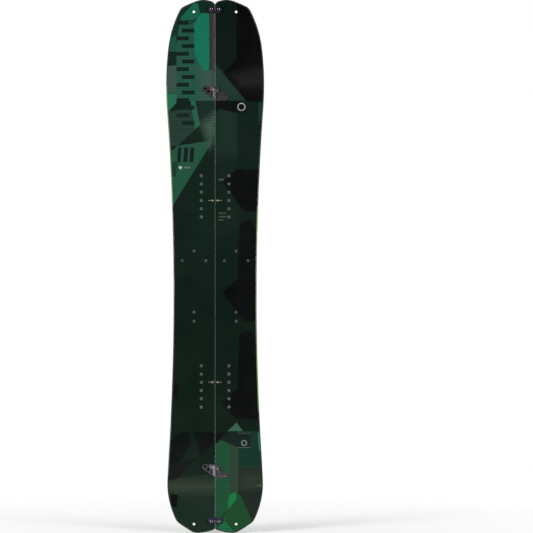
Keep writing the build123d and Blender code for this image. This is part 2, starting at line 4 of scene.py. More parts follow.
import bmesh
import bpy
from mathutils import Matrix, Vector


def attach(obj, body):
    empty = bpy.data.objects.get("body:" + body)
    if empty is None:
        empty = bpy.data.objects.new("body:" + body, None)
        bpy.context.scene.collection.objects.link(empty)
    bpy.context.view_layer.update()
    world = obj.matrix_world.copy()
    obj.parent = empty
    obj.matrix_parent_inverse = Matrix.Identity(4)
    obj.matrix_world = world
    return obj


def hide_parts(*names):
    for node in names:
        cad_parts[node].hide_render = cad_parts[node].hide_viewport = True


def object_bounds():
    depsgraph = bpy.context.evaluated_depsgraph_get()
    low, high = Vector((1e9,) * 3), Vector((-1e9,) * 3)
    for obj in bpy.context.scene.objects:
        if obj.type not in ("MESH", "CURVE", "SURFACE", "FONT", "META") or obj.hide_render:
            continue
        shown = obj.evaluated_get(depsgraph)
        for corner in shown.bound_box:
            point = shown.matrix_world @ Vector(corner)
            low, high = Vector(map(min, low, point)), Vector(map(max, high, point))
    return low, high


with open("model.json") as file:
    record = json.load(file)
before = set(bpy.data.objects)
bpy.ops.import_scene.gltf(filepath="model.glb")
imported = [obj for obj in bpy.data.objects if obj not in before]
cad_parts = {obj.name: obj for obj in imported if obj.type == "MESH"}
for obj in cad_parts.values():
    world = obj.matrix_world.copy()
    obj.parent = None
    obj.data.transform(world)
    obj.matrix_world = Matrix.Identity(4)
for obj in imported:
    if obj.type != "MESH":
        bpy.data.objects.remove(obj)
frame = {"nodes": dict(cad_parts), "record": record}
cad_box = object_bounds()

# ---- The wood cores ----
# Each half's core is strips of light wood glued edge to edge, planed to its taper and pocketed
# for the inserts. Only the inserts' pockets and the open joints would ever show it.

MM = 0.001
SIDES = ("left", "right")


def start_material(name):
    """A new material, with its node tree, its main shader and the object's own coordinates."""
    material = bpy.data.materials.new(name)
    material.use_nodes = True
    tree = material.node_tree
    place = tree.nodes.new("ShaderNodeTexCoord").outputs["Object"]
    return material, tree, tree.nodes["Principled BSDF"], place


def feed(tree, socket, value):
    """Give a socket another node's output, or a plain value."""
    if isinstance(value, bpy.types.NodeSocket):
        tree.links.new(value, socket)
    else:
        socket.default_value = value


def sum_step(tree, operation, *values, clamp=False):
    """One step of arithmetic."""
    step = tree.nodes.new("ShaderNodeMath")
    step.operation = operation
    step.use_clamp = clamp
    for socket, value in zip(step.inputs, values):
        feed(tree, socket, value)
    return step.outputs[0]


def mix_colours(tree, share, first, second, mode="MIX"):
    """The first colour, going over to the second as share goes to 1."""
    step = tree.nodes.new("ShaderNodeMix")
    step.data_type = "RGBA"
    step.blend_type = mode
    share_socket, first_socket, second_socket = step.inputs[0], step.inputs[6], step.inputs[7]
    feed(tree, share_socket, share)
    feed(tree, first_socket, first)
    feed(tree, second_socket, second)
    return step.outputs[2]


def spread(tree, value, low, high, to_low=0.0, to_high=1.0):
    """Map a value from one range to another, and hold it there."""
    step = tree.nodes.new("ShaderNodeMapRange")
    for socket, given in zip(step.inputs, (value, low, high, to_low, to_high)):
        feed(tree, socket, given)
    return step.outputs[0]


def stretched(tree, place, scale):
    """The coordinates scaled along each axis."""
    step = tree.nodes.new("ShaderNodeMapping")
    feed(tree, step.inputs["Vector"], place)
    step.inputs["Scale"].default_value = scale
    return step.outputs["Vector"]


def noise(tree, place, scale, detail=3.0):
    """Soft random values about 0.5."""
    step = tree.nodes.new("ShaderNodeTexNoise")
    feed(tree, step.inputs["Vector"], place)
    feed(tree, step.inputs["Scale"], scale)
    step.inputs["Detail"].default_value = detail
    return step.outputs["Fac"]


def split_axes(tree, place):
    """The three coordinates one by one."""
    step = tree.nodes.new("ShaderNodeSeparateXYZ")
    feed(tree, step.inputs[0], place)
    return step.outputs


def repeat_count(tree, value, pitch):
    """Which repeat of a pitch a coordinate is in, as a whole number."""
    return sum_step(tree, "FLOOR", sum_step(tree, "DIVIDE", value, pitch))


def relief(tree, shader, height, depth):
    """Fine relief of a given depth, in metres."""
    step = tree.nodes.new("ShaderNodeBump")
    step.inputs["Distance"].default_value = depth
    feed(tree, step.inputs["Height"], height)
    tree.links.new(step.outputs["Normal"], shader.inputs["Normal"])


def ink(red, green, blue):
    """A colour as a printer names it, 0 to 255, made linear for the shader."""
    linear = []
    for level in (red, green, blue):
        share = level / 255
        linear.append(share / 12.92 if share <= 0.04045 else ((share + 0.055) / 1.055) ** 2.4)
    return (*linear, 1.0)


def dress(node, material):
    """Give a CAD node's object its material."""
    frame["nodes"][node].data.materials.clear()
    frame["nodes"][node].data.materials.append(material)


def line_grain():
    """Long fibres or ground lines: noise drawn out along one axis."""
    group = bpy.data.node_groups.new("line grain", "ShaderNodeTree")
    for name, kind in (("Place", "NodeSocketVector"), ("Fineness", "NodeSocketVector")):
        group.interface.new_socket(name, in_out="INPUT", socket_type=kind)
    for name in ("Coarse", "Fine"):
        group.interface.new_socket(name, in_out="OUTPUT", socket_type="NodeSocketFloat")
    given = group.nodes.new("NodeGroupInput")
    drawn = group.nodes.new("ShaderNodeVectorMath")
    drawn.operation = "MULTIPLY"
    group.links.new(given.outputs["Place"], drawn.inputs[0])
    group.links.new(given.outputs["Fineness"], drawn.inputs[1])
    result = group.nodes.new("NodeGroupOutput")
    group.links.new(noise(group, drawn.outputs[0], 1.0, 2.0), result.inputs["Coarse"])
    group.links.new(noise(group, drawn.outputs[0], 5.0, 6.0), result.inputs["Fine"])
    return group


LINE_GRAIN = line_grain()


def grain(tree, place, fineness):
    """Place the line grain in a material; fineness is how often it changes along each axis."""
    step = tree.nodes.new("ShaderNodeGroup")
    step.node_tree = LINE_GRAIN
    feed(tree, step.inputs["Place"], place)
    step.inputs["Fineness"].default_value = fineness
    return step.outputs["Coarse"], step.outputs["Fine"]


STRIP_WIDTH = 24 * MM

wood, tree, shader, place = start_material("glued wood strips")
strip = repeat_count(tree, split_axes(tree, place)["X"], STRIP_WIDTH)
odd_strip = sum_step(tree, "PINGPONG", strip, 1.0)
coarse, fine = grain(tree, place, (260.0, 260.0, 6.0))
pale = mix_colours(tree, fine, ink(214, 184, 138), ink(190, 152, 104))
dark = mix_colours(tree, fine, ink(196, 160, 112), ink(158, 120, 78))
feed(tree, shader.inputs["Base Color"], mix_colours(tree, odd_strip, pale, dark))
feed(tree, shader.inputs["Roughness"], spread(tree, coarse, 0.3, 0.7, 0.5, 0.7))
relief(tree, shader, fine, 0.1 * MM)
for side in SIDES:
    dress(f"{side}_core", wood)

# ---- The laminates ----
# Glass fibre cloth set in resin, one sheet under the core and one over it. The cloth is woven
# in bundles just over 2 mm apart, and the resin between them has yellowed a little.

BUNDLE_PITCH = 2.2 * MM


def waves(tree, value, pitch):
    """A wave of a given pitch along a coordinate, from -1 to 1."""
    return sum_step(tree, "SINE", sum_step(tree, "MULTIPLY", value, math.tau / pitch))


laminate, tree, shader, place = start_material("resin over glass cloth")
axes = split_axes(tree, place)
across, along = waves(tree, axes["X"], BUNDLE_PITCH), waves(tree, axes["Z"], BUNDLE_PITCH)
weave = sum_step(tree, "MULTIPLY", across, along)
cloudy = noise(tree, place, 40.0)
cloth = mix_colours(tree, spread(tree, weave, -1, 1), ink(186, 184, 150), ink(150, 146, 108))
feed(tree, shader.inputs["Base Color"], mix_colours(tree, cloudy, cloth, ink(168, 164, 120)))
feed(tree, shader.inputs["Roughness"], spread(tree, cloudy, 0.3, 0.7, 0.25, 0.45))
relief(tree, shader, weave, 0.08 * MM)
for side in SIDES:
    dress(f"{side}_lower_laminate", laminate)
    dress(f"{side}_upper_laminate", laminate)

# ---- The running bases ----
# Sintered polyethylene with a printed design, stone ground along its length and waxed. The
# design runs over both halves: a grey nose, lime green, a black wedge and a striped tail.

PRINT_SOFTNESS = 0.5


def print_edge():
    """One straight side of a printed shape: 1 inside it, 0 outside."""
    group = bpy.data.node_groups.new("print edge", "ShaderNodeTree")
    kinds = {"Place": "NodeSocketVector", "Inward": "NodeSocketVector",
             "Distance": "NodeSocketFloat", "Softness": "NodeSocketFloat"}
    for name, kind in kinds.items():
        group.interface.new_socket(name, in_out="INPUT", socket_type=kind)
    group.interface.new_socket("Inside", in_out="OUTPUT", socket_type="NodeSocketFloat")
    given = group.nodes.new("NodeGroupInput")
    reach = group.nodes.new("ShaderNodeVectorMath")
    reach.operation = "DOT_PRODUCT"
    group.links.new(given.outputs["Place"], reach.inputs[0])
    group.links.new(given.outputs["Inward"], reach.inputs[1])
    depth = sum_step(group, "SUBTRACT", reach.outputs["Value"], given.outputs["Distance"])
    share = sum_step(group, "DIVIDE", depth, given.outputs["Softness"])
    inside = sum_step(group, "ADD", share, 0.5, clamp=True)
    result = group.nodes.new("NodeGroupOutput")
    group.links.new(inside, result.inputs["Inside"])
    return group


PRINT_EDGE = print_edge()


def facet(tree, place, corners, softness=PRINT_SOFTNESS):
    """A mask for a convex printed shape, from its corners in millimetres."""
    turns = zip(corners, corners[1:] + corners[:1])
    area = sum(x1 * z2 - x2 * z1 for (x1, z1), (x2, z2) in turns)
    if area < 0:
        corners = corners[::-1]
    mask = 1.0
    for (x1, z1), (x2, z2) in zip(corners, corners[1:] + corners[:1]):
        run = math.hypot(x2 - x1, z2 - z1)
        inward = ((z1 - z2) / run, 0.0, (x2 - x1) / run)
        edge = tree.nodes.new("ShaderNodeGroup")
        edge.node_tree = PRINT_EDGE
        feed(tree, edge.inputs["Place"], place)
        edge.inputs["Inward"].default_value = inward
        edge.inputs["Distance"].default_value = (inward[0] * x1 + inward[2] * z1) * MM
        edge.inputs["Softness"].default_value = softness * MM
        mask = sum_step(tree, "MINIMUM", mask, edge.outputs["Inside"])
    return mask


def print_facets(tree, place, ground, facets):
    """Print shapes, each (colour, corners) or (colour, corners, softness), over the ground."""
    colour = ground
    for shade, corners, *softness in facets:
        mask = facet(tree, place, corners, *softness)
        colour = mix_colours(tree, mask, colour, ink(*shade))
    return colour


def column(left, right, low, high):
    """The corners of an upright strip."""
    return [(left, low), (right, low), (right, high), (left, high)]


def fade(tree, height, *stops):
    """A colour that changes with height through (millimetres, colour) stops, lowest first."""
    colour = ink(*stops[0][1])
    for (low, _), (high, shade) in zip(stops, stops[1:]):
        share = spread(tree, height, low * MM, high * MM)
        colour = mix_colours(tree, share, colour, ink(*shade))
    return colour


def ring_mask(tree, axes, x, z, radius, half_width):
    """A mask for a printed ring, from its centre, mid radius and half its width in millimetres."""
    flat = tree.nodes.new("ShaderNodeCombineXYZ")
    feed(tree, flat.inputs["X"], axes["X"])
    feed(tree, flat.inputs["Z"], axes["Z"])
    far = tree.nodes.new("ShaderNodeVectorMath")
    far.operation = "DISTANCE"
    feed(tree, far.inputs[0], flat.outputs[0])
    far.inputs[1].default_value = (x * MM, 0, z * MM)
    off = sum_step(tree, "SUBTRACT", far.outputs["Value"], radius * MM)
    outside = (half_width + PRINT_SOFTNESS / 2) * MM
    inside = (half_width - PRINT_SOFTNESS / 2) * MM
    return spread(tree, sum_step(tree, "ABSOLUTE", off), outside, inside)


# Printed shapes are in millimetres. They run off the board past the nose, the tail and the
# outline, and 5 mm past the seam.
TOP, BOTTOM, OUT = 1700, -20, 180

LIME_FADE = [
    (330, (112, 188, 82)),
    (560, (103, 185, 74)),
    (900, (99, 180, 72)),
    (1420, (93, 164, 66)),
]
TAIL_DUSK = [(85, (70, 104, 64)), (172, (130, 198, 108))]
DUSK_END = (240 * MM, 260 * MM)
PALE_BAND = (1432 * MM, 1529 * MM)
PALE_BAND_SLOPE = 0.331
BASE_RING = (71, 1337, 27, 6)

BASE_PRINT = {
    "right": [
        ((104, 158, 98), column(0, OUT, BOTTOM, 300)),
        ((66, 104, 68), column(89, 107, BOTTOM, 300), 6),
        ((122, 176, 114), column(66, 86, BOTTOM, 300), 6),
        ((76, 112, 78), column(46, 64, BOTTOM, 300), 5),
        ((112, 160, 108), column(28, 43, BOTTOM, 300), 6),
        ((80, 114, 84), column(-5, 24, BOTTOM, 300), 6),
        ((58, 88, 62), column(132, OUT, BOTTOM, 300), 14),
        ((58, 92, 62), column(-5, OUT, BOTTOM, 40), 150),
        ((156, 210, 134), [(-5, 265), (22, 294), (-5, 326)]),
        ((48, 66, 54),
         [(56, 142), (73, 142), (107, 72), (112, BOTTOM), (30, BOTTOM), (32, 40)], 3),
        ((12, 18, 12), [(56, 147), (73, 147), (86, 132), (98, 100), (44, 100), (47, 135)], 9),
        ((20, 13, 13), [(-5, 476), (128, 581), (OUT, 622), (OUT, 110), (146, 150), (-5, 331)]),
        ((4, 3, 4), [(126, 345), (72, 345), (50, 322), (24, 292), (140, 156)], 3),
        ((99, 92, 93), [(-5, 1529.5), (144, 1480), (OUT, 1468), (OUT, TOP), (-5, TOP)]),
    ],
    "left": [
        ((66, 140, 64), [(5, 1222), (-126, 1015), (-OUT, 930), (-OUT, TOP), (5, TOP)]),
        ((52, 104, 58), column(-36, -20, 1245, TOP), 5),
        ((54, 108, 60), [(-84, 1082), (-58, 1124), (-58, TOP), (-84, TOP)], 8),
        ((80, 156, 76), [(-102, 1056), (-90, 1076), (-90, TOP), (-102, TOP)], 6),
        ((43, 90, 54), [(-126, 1016), (-104, 1052), (-104, TOP), (-126, TOP)], 3),
        ((140, 184, 122), column(-OUT, 5, 1500, TOP), 120),
        ((12, 14, 10),
         [(-24.4, 1560), (-110, 1575), (-52, 1425), (-44, 1416), (-34, 1417), (-24.4, 1436)]),
        ((126, 124, 110),
         [(-24.4, 1560), (-112, 1580), (-84, 1508), (-66, 1462), (-24.4, 1462)], 50),
        ((20, 13, 13), [(5, 484), (-78, 418), (5, 319)]),
        ((156, 209, 134),
         [(-124, 472), (-78, 418), (5, 319), (5, 190), (-139, 233), (-OUT, 246), (-OUT, 537)]),
        ((72, 66, 66), [(5, 1526), (-108, 1563.5), (-108, TOP), (5, TOP)]),
        ((72, 66, 66),
         [(-107.9, 1563.5), (-124, 1553), (-OUT, 1516), (-OUT, TOP), (-107.9, TOP)]),
        ((90, 83, 83), column(-26, 5, 1540, TOP), 8),
    ],
}

for side, facet_shapes in BASE_PRINT.items():
    base, tree, shader, place = start_material(f"printed base {side}")
    axes = split_axes(tree, place)
    height = axes["Z"]
    lean = sum_step(tree, "ADD", height, sum_step(tree, "MULTIPLY", axes["X"], PALE_BAND_SLOPE))
    lime = fade(tree, height, *LIME_FADE)
    ground = mix_colours(tree, spread(tree, lean, *PALE_BAND), lime, ink(166, 221, 142))
    if side == "left":
        dusk = fade(tree, height, *TAIL_DUSK)
        ground = mix_colours(tree, spread(tree, height, *DUSK_END), dusk, ground)
    colour = print_facets(tree, place, ground, facet_shapes)
    if side == "right":
        colour = mix_colours(tree, ring_mask(tree, axes, *BASE_RING), colour, ink(13, 17, 11))
    coarse, fine = grain(tree, place, (900.0, 60.0, 2.0))
    ground_lines = spread(tree, fine, 0.3, 0.7, 0.0, 0.12)
    shaded = mix_colours(tree, ground_lines, colour, ink(30, 40, 26), "MULTIPLY")
    feed(tree, shader.inputs["Base Color"], shaded)
    feed(tree, shader.inputs["Roughness"], spread(tree, coarse, 0.3, 0.7, 0.3, 0.42))
    shader.inputs["Specular IOR Level"].default_value = 0.3
    relief(tree, shader, fine, 0.03 * MM)
    dress(f"{side}_base", base)

# ---- The steel edges ----
# Each half is bound in hardened steel: a bent strip round the outside and a straight one along
# the seam. They are ground flush with the base, so their lines run the length of the board.


def bright_steel(name, fineness, light, dark, roughness, depth):
    """Bare steel, its fine lines in its colour, its gloss and its relief."""
    material, tree, shader, place = start_material(name)
    coarse, fine = grain(tree, place, fineness)
    feed(tree, shader.inputs["Base Color"], mix_colours(tree, fine, ink(*light), ink(*dark)))
    feed(tree, shader.inputs["Roughness"], spread(tree, coarse, 0.3, 0.7, *roughness))
    shader.inputs["Metallic"].default_value = 1.0
    relief(tree, shader, fine, depth)
    return material


steel = bright_steel("ground steel edge", (700.0, 700.0, 9.0), (206, 205, 200), (168, 168, 165),
                     roughness=(0.22, 0.42), depth=0.02 * MM)
for side in SIDES:
    for run in ("outer", "seam"):
        dress(f"{side}_{run}_edge", steel)

# ---- The sidewalls and the tip spacers ----
# Plastic walls close the core. The outer one is bevelled up to the topsheet and made of
# coloured lengths, mostly black and lime green, butted end to end. Spacers fill the two tips.

BEVEL = 3.5 * MM
SEAM = 1 * MM
CORE_ENDS = (85 * MM, 1545 * MM)
BUTTS = (45, 125, 165, 370, 545, 800, 1125, 1385, 1438, 1491, 1590)
SKIN_HOLES = [(65 * MM, 26.6 * MM), (65 * MM, 1603 * MM)]
CLIP_HOLES = [(11.4 * MM, 35 * MM), (11.4 * MM, 1610.5 * MM)]
HOLE_ROOM = 8 * MM

# A line up each half, inside its outline. A wall that faces away from it is an outer one.
SPINE_X = 70 * MM
SPINE_ENDS = (120 * MM, 1500 * MM)

# Points this near are one, faces this near a height lie at it, and a face whose normal leans
# this far along Y is a level one. Edges sharper than the crease stay sharp.
MERGE = 0.002 * MM
NEAR = 0.1 * MM
LEVEL = 0.5
CREASE = math.radians(30)

LIME_WALL = (78, 124, 54)
BLACK_WALL = (6, 8, 7)
MOSS_WALL = (62, 88, 60)
GREY_WALL = (84, 86, 80)
WALL_LENGTHS = {
    "left": [(MOSS_WALL, 176, 346), (LIME_WALL, 1008, 1380), (GREY_WALL, 728, 777)],
    "right": [(LIME_WALL, 373, 1008), (GREY_WALL, 728, 777)],
}

bodies = frame["record"]["behaviour"]["bodies"]
BODY_OF = {node: body for body, members in bodies.items() for node in members}


def copy_of(node, name):
    """A merged copy of a node's mesh, shaded smooth up to its real edges, in the node's stead."""
    mesh = frame["nodes"][node].data.copy()
    mesh.name = name
    if "custom_normal" in mesh.attributes:
        mesh.attributes.remove(mesh.attributes["custom_normal"])
    shell = bmesh.new()
    shell.from_mesh(mesh)
    bmesh.ops.remove_doubles(shell, verts=shell.verts, dist=MERGE)
    shell.to_mesh(mesh)
    shell.free()
    mesh.shade_smooth()
    mesh.set_sharp_from_angle(angle=CREASE)
    piece = bpy.data.objects.new(name, mesh)
    bpy.context.scene.collection.objects.link(piece)
    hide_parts(node)
    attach(piece, BODY_OF[node])
    return piece


def paint_over(piece, material):
    """Give a piece its one material."""
    piece.data.materials.clear()
    piece.data.materials.append(material)


def lies_at(face, height):
    """True for a face that lies flat at a height, such as the cut end of a length."""
    return all(abs(vert.co.z - height) < NEAR for vert in face.verts)


def is_outer_wall(face):
    """True for a face on the board's outline, away from the seam, the core's ends and holes."""
    spot = face.calc_center_median()
    at_seam = all(abs(vert.co.x) < SEAM for vert in face.verts)
    if abs(face.normal.y) > LEVEL or at_seam or any(lies_at(face, end) for end in CORE_ENDS):
        return False
    spine_z = min(max(spot.z, SPINE_ENDS[0]), SPINE_ENDS[1])
    spine_x = math.copysign(SPINE_X, spot.x)
    if face.normal.x * (spot.x - spine_x) + face.normal.z * (spot.z - spine_z) < 0:
        return False
    holes = SKIN_HOLES + CLIP_HOLES
    return all(math.hypot(abs(spot.x) - x, spot.z - z) > HOLE_ROOM for x, z in holes)


def bevel_outline(piece):
    """Join the lengths, and lean their outer wall in to meet the edge of the topsheet."""
    shell = bmesh.new()
    shell.from_mesh(piece.data)
    shell.normal_update()
    inner = [face for face in shell.faces if any(lies_at(face, butt * MM) for butt in BUTTS)]
    bmesh.ops.delete(shell, geom=inner, context="FACES")
    upper = {vert for face in shell.faces if face.normal.y < -LEVEL for vert in face.verts}
    moves, shifts = {}, {}
    for face in filter(is_outer_wall, shell.faces):
        for vert in upper.intersection(face.verts):
            moves.setdefault(vert, []).append(face.normal * face.calc_area())
    for vert, normals in moves.items():
        out = sum(normals[1:], normals[0])
        out.y = 0
        out.normalize()
        shift = out * -BEVEL
        if abs(vert.co.x) < SEAM:
            shift.x, shift.z = 0, -BEVEL / out.z
        elif min(abs(vert.co.z - end) for end in CORE_ENDS) < NEAR:
            shift.x, shift.z = -BEVEL / out.x, 0
        slopes = [face.normal for face in vert.link_faces if face.normal.y < -LEVEL]
        slope = sum(slopes[1:], slopes[0])
        shift.y = -(slope.x * shift.x + slope.z * shift.z) / slope.y
        shifts[vert] = shift
    for vert, shift in shifts.items():
        vert.co += shift
    shell.to_mesh(piece.data)
    shell.free()
    piece.data.shade_smooth()
    piece.data.set_sharp_from_angle(angle=CREASE)


for side, lengths in WALL_LENGTHS.items():
    wall, tree, shader, place = start_material(f"coloured sidewall {side}")
    bands = [(shade, column(-OUT, OUT, low, high)) for shade, low, high in lengths]
    colour = print_facets(tree, place, ink(*BLACK_WALL), bands)
    coarse, fine = grain(tree, place, (500.0, 500.0, 14.0))
    scuffs = spread(tree, fine, 0.45, 0.75, 0.0, 0.25)
    scuffed = mix_colours(tree, scuffs, colour, ink(150, 156, 140))
    feed(tree, shader.inputs["Base Color"], scuffed)
    feed(tree, shader.inputs["Roughness"], spread(tree, coarse, 0.3, 0.7, 0.38, 0.55))
    relief(tree, shader, fine, 0.04 * MM)
    dress(f"{side}_seam_sidewall", wall)
    for node in ("outer_sidewall", "nose_spacer", "tail_spacer"):
        piece = copy_of(f"{side}_{node}", f"{side}_bevelled_{node}")
        bevel_outline(piece)
        paint_over(piece, wall)

# ---- The topsheets ----
# A clear nylon sheet printed on its underside and pressed on with a satin gloss. The design is
# faceted greens with fine level lines over them, and a row of black arrowheads on the right.

# The right list also holds a painted highlight: a soft grey patch near the nose.
TOP_PRINT_AND_HIGHLIGHT = {
    "left": [
        ((36, 90, 75), [(-OUT, 1331), (5, 1331), (5, TOP), (-OUT, TOP)]),
        ((16, 50, 38), column(-OUT, -40, 1576, TOP)),
        ((16, 54, 42), [(-OUT, 1486), (-150, 1486), (-119, 1500), (-108, 1583), (-OUT, 1583)]),
        ((16, 106, 82),
         [(-66, 1628), (-53, 1628), (-46, 1600), (-63, 1580), (-101, 1577), (-108, 1583)]),
        ((14, 46, 34), [(-53, 1640), (5, 1650), (5, 1600), (-46, 1598)]),
        ((60, 90, 76), column(-46, 5, 1331, 1430), 26),
        ((14, 122, 94),
         [(-46, 1598), (-18, 1601), (-18, 1439), (-22, 1428), (-30, 1422), (-38, 1424),
          (-53, 1455), (-64, 1477), (-64, 1576)]),
        ((22, 70, 50), [(-98, 1577), (-64, 1583), (-49, 1595), (-61, 1572), (-77, 1563)]),
        ((24, 84, 70), [(-150, 1489), (-119, 1486), (-119, 1534), (-134, 1526)]),
        ((12, 38, 32), [(-OUT, 1436), (-119, 1440), (-119, 1482), (-OUT, 1486)]),
        ((60, 88, 76), [(-OUT, 1357), (-119, 1357), (-119, 1440), (-OUT, 1430)]),
        ((38, 114, 88), [(-OUT, 1356), (-119, 1350), (-119, 1325), (-146, 1296), (-OUT, 1290)]),
        ((50, 58, 52), column(-18, 5, 1425, 1601), 1.5),
        ((66, 70, 64), column(-8, -2, 1340, 1601), 5),
        ((36, 64, 54),
         [(-OUT, 1185), (-116, 1192), (-46, 1257), (-62, 1331), (-119, 1331), (-146, 1296),
          (-OUT, 1290)]),
        ((38, 104, 82), [(-76, 1331), (-62, 1331), (-46, 1257), (-62, 1242)]),
        ((26, 47, 39), [(-62, 1330.5), (5, 1330.5), (5, 1299), (-45, 1257)]),
        ((36, 88, 68),
         [(5, 1298), (5, 1227), (-129.7, 1009.6), (-OUT, 1009), (-OUT, 1182), (-116, 1192)]),
        ((64, 92, 78), [(5, 1298), (5, 1227), (-16, 1193), (-42, 1258)], 30),
        ((22, 62, 50), [(-OUT, 1097), (-121, 1097), (-116, 1142), (-OUT, 1142)]),
        ((6, 14, 10), [(-OUT, 410), (-117, 419), (-112, 458), (-OUT, 458)]),
        ((24, 44, 34),
         [(-OUT, 158), (-115, 167), (-45, 237), (5, 275), (5, BOTTOM), (-OUT, BOTTOM)]),
        ((50, 62, 49), column(-OUT, 5, 122, 158), 30),
        ((5, 12, 8),
         [(-134, 284), (-111, 308), (-80, 309), (-76, 262), (-113, 212), (-145, 160), (-OUT, 190)]),
        ((6, 13, 9), [(-113, 212), (-53, 233), (-115, 167), (-146, 159)]),
        ((5, 12, 8), [(-64, 309), (33, 309), (5, 282), (-45, 237)]),
        ((5, 10, 7), [(-138, 118), (-114, 115), (-119, 77), (-134, 80)]),
        ((140, 142, 124), [(-10, 1027.6), (-2.5, 1023.4), (-10, 1019.2)]),
        ((150, 152, 134), column(-21, -8, 1022.7, 1024.1)),
        ((150, 152, 134), [(-10, 467.5), (-2.5, 463.3), (-10, 459.1)]),
        ((140, 142, 126), column(-21, -8, 462.6, 464)),
        ((12, 30, 26), [(-117, 1141), (-107, 1141), (-104, 1187), (-114, 1187)]),
        ((12, 30, 26), [(-98, 1141), (-86, 1141), (-83, 1187), (-95, 1187)]),
        ((12, 30, 26), [(-79, 1141), (-67, 1141), (-64, 1187), (-76, 1187)]),
        ((196, 202, 190), [(-113, 1125), (-107, 1119), (-101, 1125), (-107, 1131)]),
        ((110, 128, 116), column(-96, -77, 1122.5, 1127)),
    ],
    "right": [
        ((8, 25, 20), [(-5, 1405), (24, 1418), (66.4, 1458), (66.4, TOP), (-5, TOP)], 3),
        ((32, 60, 50), [(-5, 1331), (95, 1331), (24, 1420), (-5, 1445)], 10),
        ((24, 52, 42), column(-5, 69, 1175, 1331), 90),
        ((9, 32, 26), column(69, OUT, 1120, 1331)),
        ((22, 58, 46), column(133, OUT, 1268, 1325), 3),
        ((8, 12, 10),
         [(-5, 1330.5), (80, 1330.5), (98, 1298), (64, 1293), (16, 1306), (-5, 1315)]),
        ((8, 12, 10), [(-5, 1330), (16, 1330), (16, 1306), (-5, 1295)]),
        ((2, 4, 3), column(66.4, OUT, 1458, TOP)),
        ((2, 4, 3), [(24, 1418), (66.4, 1458), (OUT, 1458), (OUT, 1329), (97, 1329)]),
        # Painted highlight, not print: a soft grey patch where the satin sheet catches the light.
        ((27, 29, 26), [(44, 1412), (OUT, 1440), (OUT, 1380), (76, 1372)], 26),
        ((10, 52, 40), column(70, OUT, 195, 312)),
        ((16, 34, 28), [(38, 310), (112, 307), (107, 262), (70, 262), (17.5, 285)]),
        ((44, 54, 44), column(70, OUT, 125, 190), 40),
        ((30, 42, 34), column(70, OUT, BOTTOM, 120), 20),
        ((62, 94, 72), [(124, 145), (OUT, 156), (OUT, 130)], 3),
        ((4, 10, 7), [(-5, 309), (33.7, 309), (-5, 273)]),
        ((26, 82, 54), [(-5, 266), (17.5, 285), (70.3, 262), (70.3, BOTTOM), (-5, BOTTOM)]),
        ((44, 66, 52), [(45, 273), (70.3, 262), (70.3, 110), (45, 110)], 5),
        ((26, 76, 42),
         [(66, 122), (80, 113), (112, 40), (100, BOTTOM), (40, BOTTOM), (33, 45), (38, 70)]),
        ((24, 122, 66),
         [(40, 72), (39, 99), (47, 118), (57, 122), (66, 122), (66, 99), (47, 80)]),
        ((28, 108, 66), [(31, 37), (60, 2), (58, BOTTOM), (4, BOTTOM), (12, 20)]),
        ((24, 60, 46), [(34, 68), (40, 74), (24, 40), (16, 46)]),
        ((22, 122, 80), [(131, 308), (OUT, 308), (OUT, 251), (135, 251)]),
        ((58, 102, 77), [(66.3, 339), (85.5, 312), (38, 312)]),
        ((156, 158, 134), [(10, 1027.6), (2.5, 1023.4), (10, 1019.2)]),
        ((148, 150, 122), column(8, 21, 1022.7, 1024.1)),
        ((150, 152, 134), [(10, 467.5), (2.5, 463.3), (10, 459.1)]),
        ((140, 142, 126), column(8, 21, 462.6, 464)),
        ((84, 98, 88), column(10, 27, 1085.5, 1090)),
        ((70, 84, 74), column(10, 34, 982, 986)),
        ((70, 84, 74), column(10, 34, 971, 975)),
        ((70, 84, 74), column(10, 26, 961.5, 965)),
        ((92, 106, 94), column(70, 108, 305, 306.5)),
        ((92, 106, 94), column(70, 108, 261, 262.5)),
    ],
}

# Black arrowheads with their shafts. The top one has no shaft, and the lowest one is blunter.
ARROW_PITCH = 340
ARROW_TIPS = [1081 - ARROW_PITCH * step for step in range(3)]
for tip in ARROW_TIPS:
    shaft = [(70, tip + 40), (OUT, tip + 40), (119, tip + 211), (107, tip + 226), (73.5, tip + 207)]
    point = [(22.5, tip), (88, tip - 90), (OUT, tip - 90)]
    if tip < ARROW_TIPS[0]:
        TOP_PRINT_AND_HIGHLIGHT["right"].insert(0, ((4, 9, 7), shaft))
    if tip == ARROW_TIPS[-1]:
        point = [(21.5, tip), (63.5, tip - 52), (OUT, tip - 52)]
    head = point + [(OUT, tip + 110), (120, tip + 90), (68, tip + 42)]
    TOP_PRINT_AND_HIGHLIGHT["right"].insert(0, ((4, 7, 6), head))

# Short dark bars in staggered rows, and fine level and upright lines over the whole sheet.
BAR_PITCH = 23.7 * MM
BAR_HALF_LENGTH = 19 * MM
BARS_X = -100 * MM
BAR_STAGGER = 17 * MM
BAR_FIELD = column(-OUT, 0, 1244, 1576)
LINE_PITCH = 6.1 * MM
RINGS = {
    "left": [],
    "right": [((176, 178, 162), 81, 1312, 11, 1.5), ((130, 142, 130), 89.3, 275.7, 7.5, 1.5)],
}


def repeating(tree, value, pitch):
    """Where a coordinate is within each repeat of a pitch, 0 to 1."""
    return sum_step(tree, "FRACT", sum_step(tree, "DIVIDE", value, pitch))


